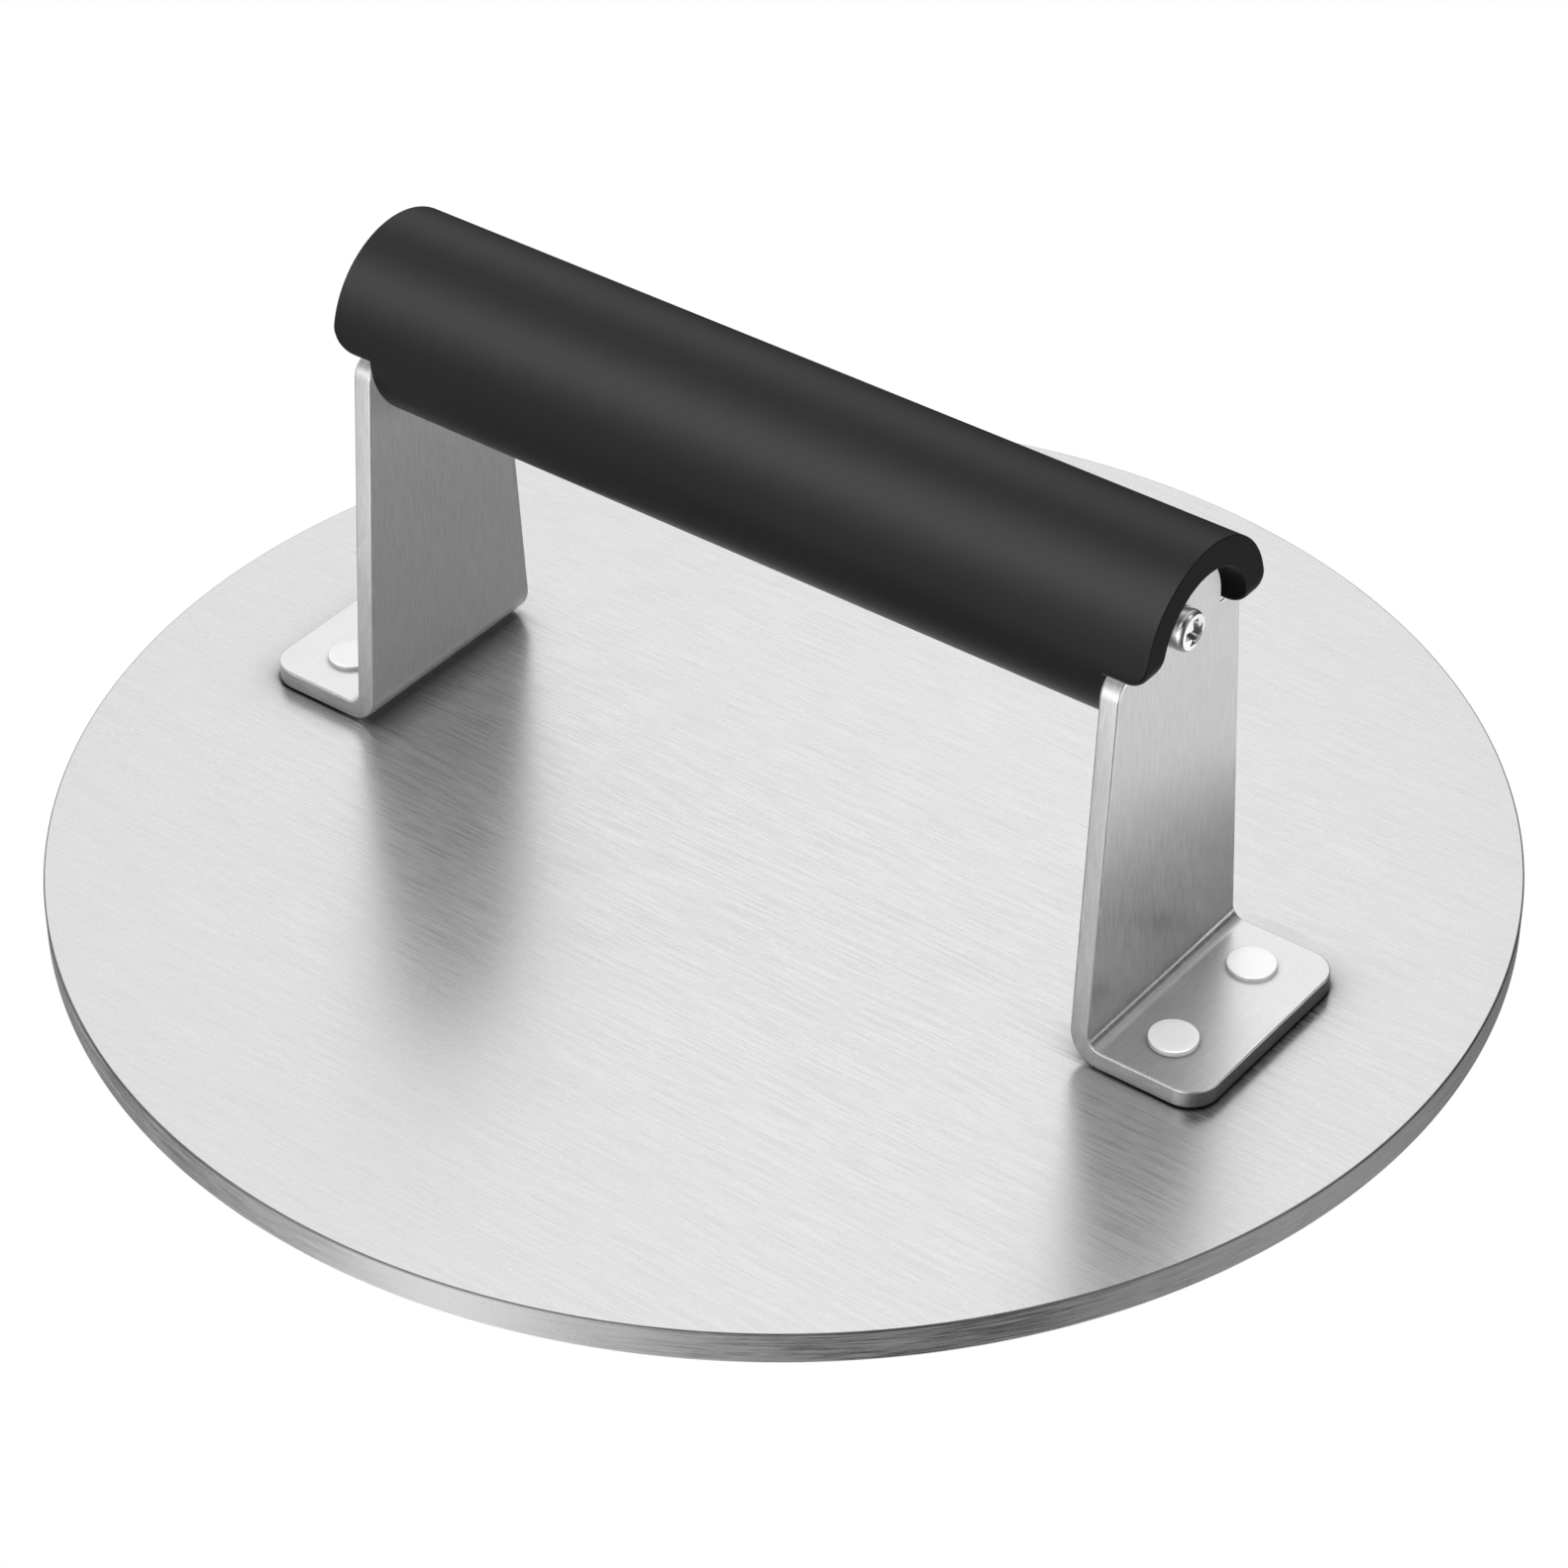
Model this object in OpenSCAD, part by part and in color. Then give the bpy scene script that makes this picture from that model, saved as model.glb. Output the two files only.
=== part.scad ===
// Round bacon press: a heavy steel plate with a bridge handle.
// Two bent sheet brackets are riveted to the plate. A steel core tube spans
// between them inside a moulded sleeve, and a screw at each end, threaded into a
// plug in the tube, holds the tube and the sleeve between the brackets.
// The origin is at the centre of the cooking face. X runs along the handle,
// and Z points up from the cooking face.

/* [Plate] */
// Diameter of the press plate
plate_d = 210; // [190:1:260]
// Thickness of the press plate
plate_t = 5; // [4:0.5:10]
// Rounding of the plate's rim, top and bottom
plate_edge_r = 0.3; // [0.2:0.1:1.5]

/* [Brackets] */
// Thickness of the bracket sheet
sheet_t = 3; // [2:0.5:4]
// Distance between the two brackets' inner faces
span = 123; // [110:1:140]
// Width of the foot and of the leg where it leaves the bend
foot_w = 35.7; // [32:0.1:44]
// Length of the foot beyond the leg's outer face
foot_reach = 17.9; // [16:0.1:22]
// Rounding of the foot's outer corners
foot_corner_r = 4.5; // [1:0.5:8]
// Inside radius of the bend between foot and leg
bend_r = 2; // [1:0.1:3]
// Width of the leg at the height of the handle's axis
leg_top_w = 27.9; // [26:0.1:31]
// Rounding of the leg's shoulders
shoulder_r = 3; // [1:0.5:4]
// Diameter of the round tongue that the grip's hood covers
tongue_d = 19; // [17:0.1:19.2]

/* [Handle] */
// Height of the handle's axis above the cooking face
axis_h = 67.1; // [56:0.1:90]
// Outer diameter of the sleeve
grip_d = 28; // [26:0.5:34]
// Bore of the sleeve
grip_bore_d = 19.4; // [19.3:0.1:20.4]
// How far each hood reaches beyond the bracket's inner face
hood_l = 6.7; // [6:0.1:10]
// Rounding of the hood's lower outer corner
hood_corner_r = 3.2; // [1:0.1:4]
// Rounding of the sleeve's outer end edges
grip_edge_r = 0.3; // [0.2:0.1:1.5]
// Outer diameter of the core tube
core_d = 19; // [18:0.1:19.2]
// Wall of the core tube
core_wall = 1.5; // [1:0.1:2.5]
// Length of the plug in each end of the core tube
plug_l = 15; // [14:0.5:25]

/* [Screws] */
// Diameter of the screw's thread
screw_d = 3.5; // [3:0.1:4]
// Length of the screw under its head
screw_l = 16; // [12:0.5:17]
// Diameter of the screw's pan head
screw_head_d = 6; // [6:0.1:7.6]
// Height of the screw's pan head
screw_head_h = 2.3; // [2:0.1:3]
// Pitch of the screw's thread
screw_pitch = 0.8; // [0.6:0.1:1]
// Span of the cross recess over its tips
recess_d = 4.3; // [3.6:0.1:4.4]

/* [Rivets] */
// Distance from the leg's outer face to the rivets
rivet_reach = 8.3; // [7:0.1:9.5]
// Distance between the two rivets of one foot
rivet_pitch = 19.3; // [15:0.1:22]
// Diameter of the rivet's shank
rivet_d = 4; // [3:0.1:5]
// Diameter of the rivet's flat head
rivet_head_d = 7; // [6:0.1:8]
// Height of the rivet's flat head
rivet_head_h = 1; // [0.6:0.1:1.5]
// Diameter of the countersink in the cooking face
sink_d = 7; // [6:0.1:8]
// Depth of the countersink in the cooking face
sink_h = 1.6; // [1:0.1:2]

/* [Hidden] */

$fn = 96;
eps = 0.01;
clearance = 0.15;                          // round a screw in the bracket's hole

x_in = span / 2;                           // bracket's inner face
x_out = x_in + sheet_t;                    // bracket's outer face
x_foot = x_out + foot_reach;               // end of the foot
bend_ro = bend_r + sheet_t;                // outside radius of the bend
bend_x = x_out + bend_r;                   // centre line of the bend
bend_z = plate_t + bend_ro;
taper = atan((foot_w / 2 - leg_top_w / 2) / (axis_h - bend_z));
shoulder_z = axis_h - 1.3;                 // the hood sits on the leg's shoulders
hood_z = axis_h - 1.2;                     // lower edge of the hood
rivet_x = x_out + rivet_reach;
rivet_z = plate_t + sheet_t;               // underside of a rivet's head
grip_half = x_in + hood_l;
head_edge_r = 1.2;                         // rounding of the screw head's edge
head_dome_r = 7.7;                         // the head's shallow dome

steel = [0.78, 0.78, 0.79];
bright = [0.88, 0.88, 0.89];
black = [0.11, 0.11, 0.12];

// Half width of the leg at a height
function leg_half(z) = foot_w / 2 - (z - bend_z) * tan(taper);

// Lays a flat outline drawn in Y and Z into place, and thickens it along X
module along_x(x, length) {
    translate([x, 0, 0]) rotate([90, 0, 90]) linear_extrude(height = length) children();
}

// Draws a profile in X and Z, and thickens it along Y about the centre
module along_y(width) {
    translate([0, width / 2, 0]) rotate([90, 0, 0]) linear_extrude(height = width) children();
}

// Turns a profile, radius against distance, round the handle's axis
module round_axis() {
    translate([0, 0, axis_h]) rotate([0, 90, 0]) rotate_extrude() children();
}

// Round plate with softened rims and four countersunk rivet holes
module press_plate() {
    r = plate_d / 2;
    e = plate_edge_r;
    color(steel) difference() {
        rotate_extrude($fn = 360) union() {
            square([r - e, plate_t]);
            translate([0, e]) square([r, plate_t - 2 * e]);
            for (z = [e, plate_t - e]) translate([r - e, z]) circle(r = e, $fn = 32);
        }
        for (sx = [-1, 1], sy = [-1, 1])
            translate([sx * rivet_x, sy * rivet_pitch / 2, 0]) {
                translate([0, 0, -1]) cylinder(h = plate_t + 2, d = rivet_d);
                cylinder(h = sink_h, d1 = sink_d, d2 = rivet_d);
            }
    }
}

// Leg's outline in Y and Z: tapered, with round shoulders and a round tongue
module leg_outline() {
    cz = shoulder_z - shoulder_r;
    cy = leg_half(cz) - shoulder_r / cos(taper);
    ty = cy + shoulder_r * cos(taper);
    tz = cz + shoulder_r * sin(taper);
    difference() {
        union() {
            polygon([[-foot_w / 2, bend_z], [foot_w / 2, bend_z], [ty, tz], [cy, shoulder_z],
                     [-cy, shoulder_z], [-ty, tz]]);
            for (s = [-1, 1]) translate([s * cy, cz]) circle(r = shoulder_r);
            translate([0, axis_h]) circle(d = tongue_d);
        }
        translate([0, axis_h]) circle(d = screw_d + 2 * clearance);
    }
}

// Foot's outline in X and Y, square at the bend and round at its outer corners
module foot_outline() {
    r = foot_corner_r;
    difference() {
        union() {
            translate([bend_x, -foot_w / 2]) square([x_foot - r - bend_x, foot_w]);
            translate([bend_x, -foot_w / 2 + r]) square([x_foot - bend_x, foot_w - 2 * r]);
            for (s = [-1, 1]) translate([x_foot - r, s * (foot_w / 2 - r)]) circle(r = r);
        }
        for (s = [-1, 1]) translate([rivet_x, s * rivet_pitch / 2]) circle(d = rivet_d);
    }
}

// One bracket on the +X side: foot, bend and leg from a single sheet
module bracket() {
    color(steel) union() {
        along_x(x_in, sheet_t) leg_outline();
        along_y(foot_w) translate([bend_x, bend_z]) intersection() {
            difference() {
                circle(r = bend_ro);
                circle(r = bend_r);
            }
            translate([-bend_ro, -bend_ro]) square(bend_ro);
        }
        translate([0, 0, plate_t]) linear_extrude(height = sheet_t) foot_outline();
    }
}

module right_bracket() { bracket(); }
module left_bracket() { mirror([1, 0, 0]) bracket(); }

// Solid rivet: flat round head on the foot, shank through foot and plate, and a
// set end that fills the countersink flush with the cooking face
module rivet(sx, sy) {
    e = 0.3;
    rh = rivet_head_d / 2;
    color(bright) translate([sx * rivet_x, sy * rivet_pitch / 2, 0]) union() {
        cylinder(h = sink_h, d1 = sink_d, d2 = rivet_d);
        cylinder(h = rivet_z + eps, d = rivet_d);
        translate([0, 0, rivet_z]) rotate_extrude() union() {
            square([rh, rivet_head_h - e]);
            square([rh - e, rivet_head_h]);
            translate([rh - e, rivet_head_h - e]) circle(r = e, $fn = 32);
        }
    }
}

module left_front_rivet() { rivet(-1, -1); }
module left_rear_rivet() { rivet(-1, 1); }
module right_front_rivet() { rivet(1, -1); }
module right_rear_rivet() { rivet(1, 1); }

// What is cut from below one end of the sleeve, so that a half-round hood is left
module under_hood() {
    r = hood_corner_r;
    along_y(grip_d + 2) {
        translate([x_in, axis_h - grip_d]) square([hood_l + 1, grip_d + hood_z - axis_h]);
        difference() {
            translate([grip_half - r, hood_z - eps]) square([r + 1, r + eps]);
            translate([grip_half - r, hood_z + r]) circle(r = r);
        }
    }
}

// Moulded sleeve: full round between the brackets, a half-round hood over each tongue
module grip_sleeve() {
    ro = grip_d / 2;
    ri = grip_bore_d / 2;
    e = grip_edge_r;
    color(black) difference() {
        round_axis() union() {
            translate([ri, -grip_half]) square([ro - e - ri, 2 * grip_half]);
            translate([ri, -grip_half + e]) square([ro - ri, 2 * grip_half - 2 * e]);
            for (s = [-1, 1]) translate([ro - e, s * (grip_half - e)]) circle(r = e, $fn = 32);
        }
        under_hood();
        mirror([1, 0, 0]) under_hood();
    }
}

// Steel tube that carries the load between the brackets
module core_tube() {
    color(steel) round_axis() translate([core_d / 2 - core_wall, -x_in]) square([core_wall, span]);
}

// Tapped plug, flush with the end of the core tube
module end_plug() {
    c = 0.6;
    rp = core_d / 2 - core_wall;
    color(steel) round_axis()
        polygon([[screw_d / 2, x_in - plug_l], [rp - c, x_in - plug_l], [rp, x_in - plug_l + c],
                 [rp, x_in], [screw_d / 2, x_in]]);
}

module right_end_plug() { end_plug(); }
module left_end_plug() { mirror([1, 0, 0]) end_plug(); }

// Cross recess: two crossed slots that narrow towards the bottom
module cross_recess() {
    depth = 1.5;
    w = 1.0;
    intersection() {
        cylinder(h = depth + eps, d1 = recess_d - 2.4, d2 = recess_d);
        for (a = [0, 90]) rotate([0, 0, a])
            translate([-recess_d, -w / 2, 0]) cube([2 * recess_d, w, depth + 1]);
    }
}

// Pan-head screw on the handle's axis, drawn upright and then laid along +X,
// with its cross recess turned by an angle
module screw(turn) {
    rh = screw_head_d / 2;
    rs = screw_d / 2;
    rm = rs - 0.54 * screw_pitch;
    e = head_edge_r;
    plain = sheet_t + 0.5;
    turns = floor((screw_l - plain - 1) / screw_pitch);
    tip = -plain - turns * screw_pitch;
    thread = [for (i = [0:turns - 1]) each [[rs, -plain - (i + 0.12) * screw_pitch],
                                            [rm, -plain - (i + 0.56) * screw_pitch],
                                            [rs, -plain - (i + 1) * screw_pitch]]];
    color(bright) translate([x_out, 0, axis_h]) rotate([0, 90, 0]) union() {
        difference() {
            rotate_extrude() intersection() {
                union() {
                    square([rh, screw_head_h - e]);
                    square([rh - e, screw_head_h]);
                    translate([rh - e, screw_head_h - e]) circle(r = e, $fn = 48);
                }
                translate([0, screw_head_h - head_dome_r]) circle(r = head_dome_r, $fn = 200);
            }
            translate([0, 0, screw_head_h - 1.5]) rotate([0, 0, turn]) cross_recess();
        }
        rotate_extrude() polygon(concat([[0, eps], [rs, eps]], thread,
                                        [[rm, tip - 0.4], [rm - 0.5, -screw_l], [0, -screw_l]]));
    }
}

module right_screw() { screw(-6); }
module left_screw() { mirror([1, 0, 0]) screw(28); }

press_plate();
left_bracket();
right_bracket();
left_front_rivet();
left_rear_rivet();
right_front_rivet();
right_rear_rivet();
grip_sleeve();
core_tube();
left_end_plug();
right_end_plug();
left_screw();
right_screw();
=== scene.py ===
import math

import bmesh
import bpy
from mathutils import Matrix, Vector


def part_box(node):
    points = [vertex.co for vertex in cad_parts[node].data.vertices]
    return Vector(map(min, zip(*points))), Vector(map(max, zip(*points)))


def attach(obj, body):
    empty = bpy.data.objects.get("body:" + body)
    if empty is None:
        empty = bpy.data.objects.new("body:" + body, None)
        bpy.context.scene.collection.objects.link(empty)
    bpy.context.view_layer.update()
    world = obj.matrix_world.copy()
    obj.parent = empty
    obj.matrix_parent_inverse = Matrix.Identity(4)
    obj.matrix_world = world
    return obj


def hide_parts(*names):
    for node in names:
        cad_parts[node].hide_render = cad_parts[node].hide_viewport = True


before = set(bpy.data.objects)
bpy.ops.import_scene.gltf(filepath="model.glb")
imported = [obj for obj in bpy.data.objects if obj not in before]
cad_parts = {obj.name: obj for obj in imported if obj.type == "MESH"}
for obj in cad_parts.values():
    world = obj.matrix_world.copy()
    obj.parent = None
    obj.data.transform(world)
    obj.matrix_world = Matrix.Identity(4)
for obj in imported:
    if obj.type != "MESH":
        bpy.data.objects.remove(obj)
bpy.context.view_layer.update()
scene = bpy.context.scene
MM = 0.001

# ---------------------------------------------------------------- sizes, from the frame
plate_lo, plate_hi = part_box("press_plate")
rb_lo, rb_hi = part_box("right_bracket")
grip_lo, grip_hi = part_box("grip_sleeve")
tube_lo, tube_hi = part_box("core_tube")
rs_lo, rs_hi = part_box("right_screw")
rr_lo, rr_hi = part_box("right_rear_rivet")

PLATE_T = plate_hi.z / MM
PLATE_R = 105.0
X_IN = rb_lo.x / MM                       # bracket's inner face
X_FOOT = rb_hi.x / MM                     # end of the foot
SHEET = 3.0
X_OUT = X_IN + SHEET
FOOT_W = (rb_hi.y - rb_lo.y) / 2 / MM     # half width
GRIP_R = (grip_hi.y - grip_lo.y) / 2 / MM
AXIS_Z = grip_hi.z / MM - GRIP_R
GRIP_X = grip_hi.x / MM
BORE_R = 9.7
TONGUE_R = 9.5
LEG_TOP = 13.95                           # half width at the handle's axis
BEND_R = 2.0
BEND_RO = BEND_R + SHEET
BEND_X = X_OUT + BEND_R
BEND_Z = PLATE_T + BEND_RO
SHOULDER_Z = AXIS_Z - 1.3
SHOULDER_R = 3.0
FOOT_R = 4.5
HOOD_Z = -1.2                             # hood's lower edge below the axis
HOOD_R = 3.2
RIVET_X = (rr_lo.x + rr_hi.x) / 2 / MM
RIVET_Y = (rr_lo.y + rr_hi.y) / 2 / MM
RIVET_TOP = rr_hi.z / MM
RIVET_EDGE = (rr_hi.x - rr_lo.x) / 2 / MM  # radius of a rivet's head
HEAD_R = (rs_hi.y - rs_lo.y) / 2 / MM
HEAD_TOP = rs_hi.x / MM
SCREW_END = rs_lo.x / MM
TAPER = math.atan((FOOT_W - LEG_TOP) / (AXIS_Z - BEND_Z))


def leg_half(z):
    return FOOT_W - (z - BEND_Z) * math.tan(TAPER)


# ---------------------------------------------------------------- mesh helpers
def arc(cx, cy, r, a0, a1, n):
    """Points on an arc, both ends included, angles in degrees."""
    out = []
    for i in range(n + 1):
        a = math.radians(a0 + (a1 - a0) * i / n)
        out.append((cx + r * math.cos(a), cy + r * math.sin(a)))
    return out


def lathe(bm, profile, segs, to_world):
    """Revolves (radius, height) points. to_world maps (radius, angle, height) to a point in mm."""
    rings = []
    for r, h in profile:
        if r < 1e-9:
            rings.append([bm.verts.new(Vector(to_world(0.0, 0.0, h)) * MM)])
        else:
            rings.append([bm.verts.new(Vector(to_world(r, 2 * math.pi * j / segs, h)) * MM)
                          for j in range(segs)])
    for a, b in zip(rings, rings[1:]):
        for j in range(segs):
            k = (j + 1) % segs
            if len(a) == 1 and len(b) == 1:
                continue
            if len(a) == 1:
                bm.faces.new((a[0], b[j], b[k]))
            elif len(b) == 1:
                bm.faces.new((a[j], b[0], a[k]))
            else:
                bm.faces.new((a[j], b[j], b[k], a[k]))
    return rings


def about_z(cx, cy):
    return lambda r, a, h: (cx + r * math.cos(a), cy + r * math.sin(a), h)


def about_x(r, a, h):
    return (h, r * math.cos(a), AXIS_Z + r * math.sin(a))


def bevel_sharp(bm, width, segments, degrees=35.0, pick=None):
    edges = [e for e in bm.edges
             if len(e.link_faces) == 2 and e.calc_face_angle(0.0) > math.radians(degrees)
             and (pick is None or pick(e))]
    made = bmesh.ops.bevel(bm, geom=edges, offset=width * MM, offset_type="OFFSET",
                           segments=segments, profile=0.5, affect="EDGES", clamp_overlap=True,
                           loop_slide=True, miter_outer="ARC", spread=0.1 * MM)
    return made["faces"]


def to_object(name, bm, material, nodes, uv_rule=None, sharp=40.0, weighted=True):
    """Closes a piece: welds, faces outwards, smooths, lays the brushing map, and rides on the frame."""
    bmesh.ops.remove_doubles(bm, verts=bm.verts, dist=2e-7)
    bmesh.ops.dissolve_degenerate(bm, edges=bm.edges, dist=1e-7)
    bmesh.ops.recalc_face_normals(bm, faces=bm.faces)
    for f in bm.faces:
        f.smooth = True
    for e in bm.edges:
        e.smooth = len(e.link_faces) == 2 and e.calc_face_angle(0.0) < math.radians(sharp)
    if uv_rule:
        layer = bm.loops.layers.uv.new("brush")
        bm.normal_update()
        for f in bm.faces:
            n, c = f.normal.copy(), f.calc_center_median()
            for loop in f.loops:
                loop[layer].uv = uv_rule(loop.vert.co, n, c)
    me = bpy.data.meshes.new(name)
    bm.to_mesh(me)
    bm.free()
    me.materials.append(material)
    ob = bpy.data.objects.new(name, me)
    scene.collection.objects.link(ob)
    if weighted:
        wn = ob.modifiers.new("even_normals", "WEIGHTED_NORMAL")
        wn.keep_sharp = True
        wn.weight = 60
    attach(ob, "root")
    if nodes:
        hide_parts(*nodes)
    return ob


# ---------------------------------------------------------------- materials
class Tree:
    """A short way to write a material's nodes."""

    def __init__(self, name):
        self.mat = bpy.data.materials.new(name)
        self.mat.use_nodes = True
        self.t = self.mat.node_tree
        self.t.nodes.clear()
        self.out = self.t.nodes.new("ShaderNodeOutputMaterial")
        self.bsdf = self.t.nodes.new("ShaderNodeBsdfPrincipled")
        self.link(self.bsdf.outputs[0], self.out.inputs[0])

    def link(self, a, b):
        self.t.links.new(a, b)

    def put(self, socket, value):
        if hasattr(value, "is_output") or isinstance(value, bpy.types.NodeSocket):
            self.link(value, socket)
        else:
            socket.default_value = value

    def math(self, op, a, b=0.0, c=0.0, clamp=False):
        n = self.t.nodes.new("ShaderNodeMath")
        n.operation = op
        n.use_clamp = clamp
        self.put(n.inputs[0], a)
        self.put(n.inputs[1], b)
        if len(n.inputs) > 2:
            self.put(n.inputs[2], c)
        return n.outputs[0]

    def scaled(self, vector, xyz):
        n = self.t.nodes.new("ShaderNodeVectorMath")
        n.operation = "MULTIPLY"
        self.link(vector, n.inputs[0])
        n.inputs[1].default_value = xyz
        return n.outputs[0]

    def noise(self, vector, detail=2.0, roughness=0.5, dims="3D", distortion=0.0):
        n = self.t.nodes.new("ShaderNodeTexNoise")
        n.noise_dimensions = dims
        self.link(vector, n.inputs["Vector"])
        n.inputs["Scale"].default_value = 1.0
        n.inputs["Detail"].default_value = detail
        n.inputs["Roughness"].default_value = roughness
        n.inputs["Distortion"].default_value = distortion
        return n.outputs["Fac"]

    def uv(self):
        n = self.t.nodes.new("ShaderNodeUVMap")
        n.uv_map = "brush"
        return n.outputs[0]

    def object_coords(self):
        return self.t.nodes.new("ShaderNodeTexCoord").outputs["Object"]

    def ramp(self, fac, stops):
        n = self.t.nodes.new("ShaderNodeValToRGB")
        self.link(fac, n.inputs[0])
        e = n.color_ramp.elements
        while len(e) < len(stops):
            e.new(0.5)
        for el, (pos, grey) in zip(e, stops):
            el.position = pos
            el.color = (*grey, 1.0) if isinstance(grey, tuple) else (grey, grey, grey, 1.0)
        return n.outputs[0]

    def bump(self, height, strength, distance, normal=None):
        n = self.t.nodes.new("ShaderNodeBump")
        n.inputs["Strength"].default_value = strength
        n.inputs["Distance"].default_value = distance
        self.link(height, n.inputs["Height"])
        if normal is not None:
            self.link(normal, n.inputs["Normal"])
        return n.outputs[0]


def brushed_steel(name, tone, rough, aniso, scatter, pale=0.4, depth=0.3, fine=0.22, length=6.0,
                  seed=0.0, shade=None):
    """Brushed stainless sheet. The map's first axis runs across the brushing, its second along it.
    scatter is the share of torn, light-scattering metal in the (clean, scratched) streaks."""
    m = Tree(name)
    uv = m.uv()
    off = m.t.nodes.new("ShaderNodeVectorMath")
    off.operation = "ADD"
    m.link(uv, off.inputs[0])
    off.inputs[1].default_value = (seed * 0.013, seed * 0.029, 0.0)
    uv = off.outputs[0]
    a = m.noise(m.scaled(uv, (1000 / fine, 1000 / length, 1)), 3.0, 0.62, "2D")
    b = m.noise(m.scaled(uv, (1000 / (fine * 2.1), 1000 / (length * 1.8), 1)), 2.0, 0.55, "2D")
    c = m.noise(m.scaled(uv, (1000 / 7.0, 1000 / 70.0, 1)), 2.0, 0.5, "2D")
    d = m.noise(m.scaled(m.object_coords(), (38.0, 38.0, 38.0)), 3.0, 0.55)
    g = m.noise(m.scaled(uv, (1000 / 0.35, 1000 / 0.9, 1)), 1.0, 0.5, "2D")
    # sparse deeper hairlines
    h = m.noise(m.scaled(uv, (1000 / (fine * 1.6), 1000 / (length * 3.0), 1)), 0.0, 0.5, "2D")
    hair = m.math("MULTIPLY", m.math("SUBTRACT", h, 0.70, clamp=True), 3.2, clamp=True)
    # tone: fine streaks, short grain, faint broad bands and cloudiness
    t = m.math("MULTIPLY_ADD", m.math("SUBTRACT", a, 0.5), 0.040, tone)
    t = m.math("MULTIPLY_ADD", m.math("SUBTRACT", g, 0.5), 0.045, t)
    t = m.math("MULTIPLY_ADD", m.math("SUBTRACT", c, 0.5), 0.012, t)
    t = m.math("MULTIPLY_ADD", m.math("SUBTRACT", d, 0.5), 0.018, t)
    t = m.math("SUBTRACT", t, m.math("MULTIPLY", hair, 0.03))
    # clean streaks beside scratched ones
    mixed = m.math("ADD", m.math("MULTIPLY", a, 0.62), m.math("MULTIPLY", b, 0.38))
    part = m.t.nodes.new("ShaderNodeMapRange")
    part.name = "streaks"
    part.interpolation_type = "SMOOTHSTEP"
    m.link(mixed, part.inputs["Value"])
    part.inputs["From Min"].default_value = 0.42
    part.inputs["From Max"].default_value = 0.58
    part.inputs["To Min"].default_value = scatter[0]
    part.inputs["To Max"].default_value = scatter[1]
    m.link(m.math("SUBTRACT", 1.0, part.outputs[0]), m.bsdf.inputs["Metallic"])
    # the scratched streaks are a little paler, so that they vanish where all around is bright
    t = m.math("MULTIPLY", t, m.math("MULTIPLY_ADD", part.outputs[0], pale, 1.0), clamp=True)
    # shade, when given, multiplies the tone by a factor that paints shade or light by place
    if shade:
        t = m.math("MULTIPLY", t, shade(m))
    col = m.t.nodes.new("ShaderNodeCombineColor")
    m.link(t, col.inputs[0])
    m.link(t, col.inputs[1])
    m.link(m.math("MULTIPLY", t, 0.998), col.inputs[2])
    m.link(col.outputs[0], m.bsdf.inputs["Base Color"])
    r = m.math("MULTIPLY_ADD", m.math("SUBTRACT", mixed, 0.5), rough[1] - rough[0],
               (rough[0] + rough[1]) / 2)
    r = m.math("MULTIPLY_ADD", m.math("SUBTRACT", d, 0.5), 0.03, r)
    m.link(r, m.bsdf.inputs["Roughness"])
    height = m.math("ADD", m.math("MULTIPLY", a, 0.55), m.math("MULTIPLY", b, 0.45))
    height = m.math("SUBTRACT", height, m.math("MULTIPLY", hair, 0.5))
    m.link(m.bump(height, 1.0, depth * 0.001 * MM), m.bsdf.inputs["Normal"])
    m.bsdf.inputs["Anisotropic"].default_value = aniso
    m.bsdf.inputs["Specular IOR Level"].default_value = 0.2
    tan = m.t.nodes.new("ShaderNodeTangent")
    tan.direction_type = "UV_MAP"
    tan.uv_map = "brush"
    m.link(tan.outputs[0], m.bsdf.inputs["Tangent"])
    return m.mat


def turned_metal(name, tone, rough, ring_mm, depth, aniso=0.0, tint=(1.0, 1.0, 1.0), spots=0.03,
                 metal=1.0):
    """Small turned or plated parts: fine rings round the part's own map, faint spots."""
    m = Tree(name)
    uv = m.uv()
    a = m.noise(m.scaled(uv, (1000 / ring_mm, 1000 / 14.0, 1)), 2.0, 0.6, "2D")
    d = m.noise(m.scaled(m.object_coords(), (900.0, 900.0, 900.0)), 3.0, 0.6)
    t = m.math("MULTIPLY_ADD", m.math("SUBTRACT", a, 0.5), 0.05, tone)
    t = m.math("MULTIPLY_ADD", m.math("SUBTRACT", d, 0.5), spots, t, clamp=True)
    col = m.t.nodes.new("ShaderNodeCombineColor")
    for i in range(3):
        m.link(m.math("MULTIPLY", t, tint[i]), col.inputs[i])
    m.link(col.outputs[0], m.bsdf.inputs["Base Color"])
    r = m.math("MULTIPLY_ADD", m.math("SUBTRACT", d, 0.5), 0.10, rough)
    m.link(r, m.bsdf.inputs["Roughness"])
    height = m.math("ADD", a, m.math("MULTIPLY", d, 0.35))
    m.link(m.bump(height, 1.0, depth * 0.001 * MM), m.bsdf.inputs["Normal"])
    m.bsdf.inputs["Metallic"].default_value = metal
    m.bsdf.inputs["Anisotropic"].default_value = aniso
    return m.mat


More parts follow.
